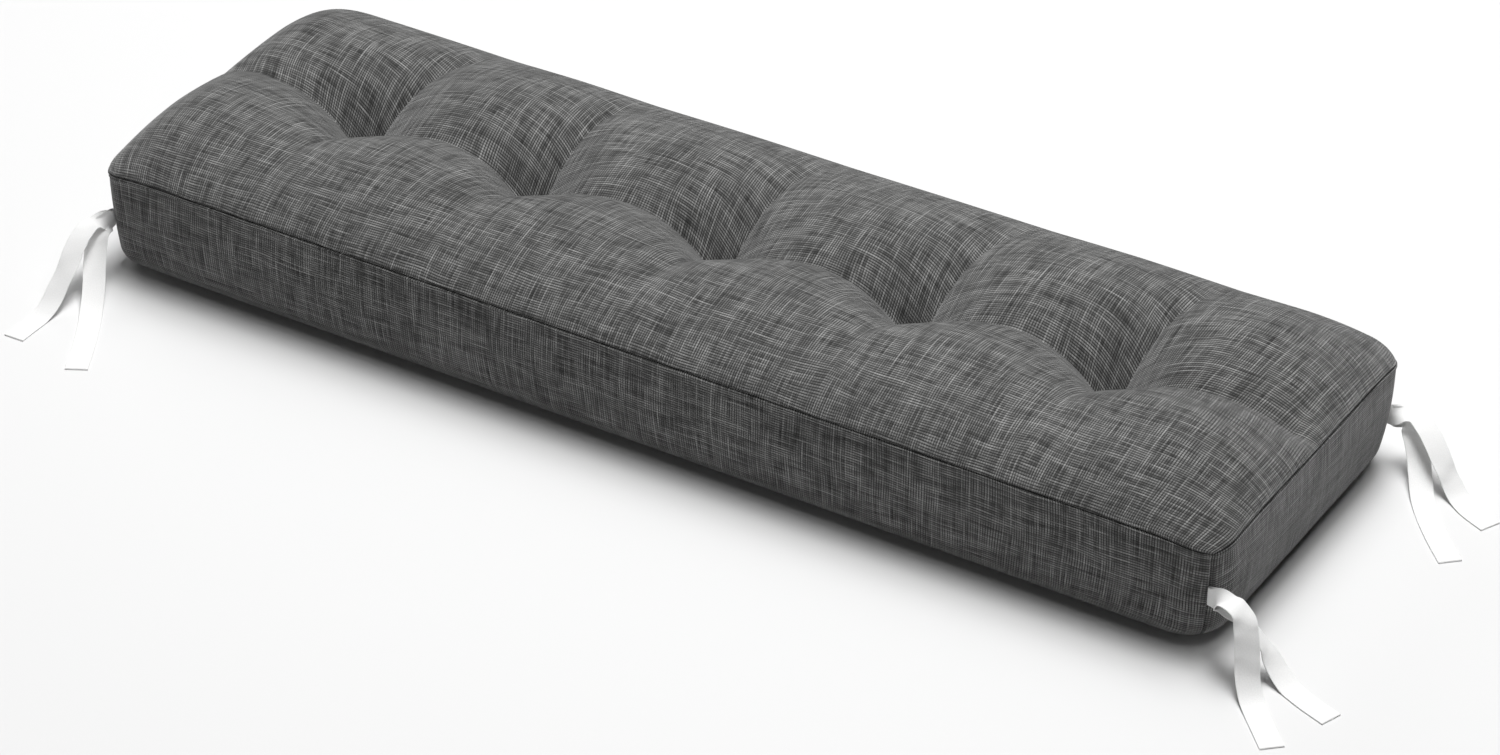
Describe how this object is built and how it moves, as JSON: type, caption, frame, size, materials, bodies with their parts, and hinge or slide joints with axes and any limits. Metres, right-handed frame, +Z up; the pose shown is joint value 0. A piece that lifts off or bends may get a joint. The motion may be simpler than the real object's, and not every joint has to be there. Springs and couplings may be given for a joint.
{
  "type": "bench cushion",
  "caption": "Long rectangular bench cushion with a tufted, domed top, a straight side band and folded tape ties at the corners.",
  "frame": {"origin": "middle of the flat underside", "axes": "+X along the length, -Y to the front, +Z up from the underside through the tufted top"},
  "size_m": [1.3378, 0.7006, 0.1593],
  "materials": {
    "fabric": "matt dark grey linen-look weave with irregular lighter threads",
    "tape": "matt white cotton twill tape"
  },
  "bodies": {
    "root": {"cushion": "fabric", "tie_front_right": "tape", "tie_back_right": "tape", "tie_front_left": "tape", "tie_back_left": "tape"}
  },
  "joints": []
}
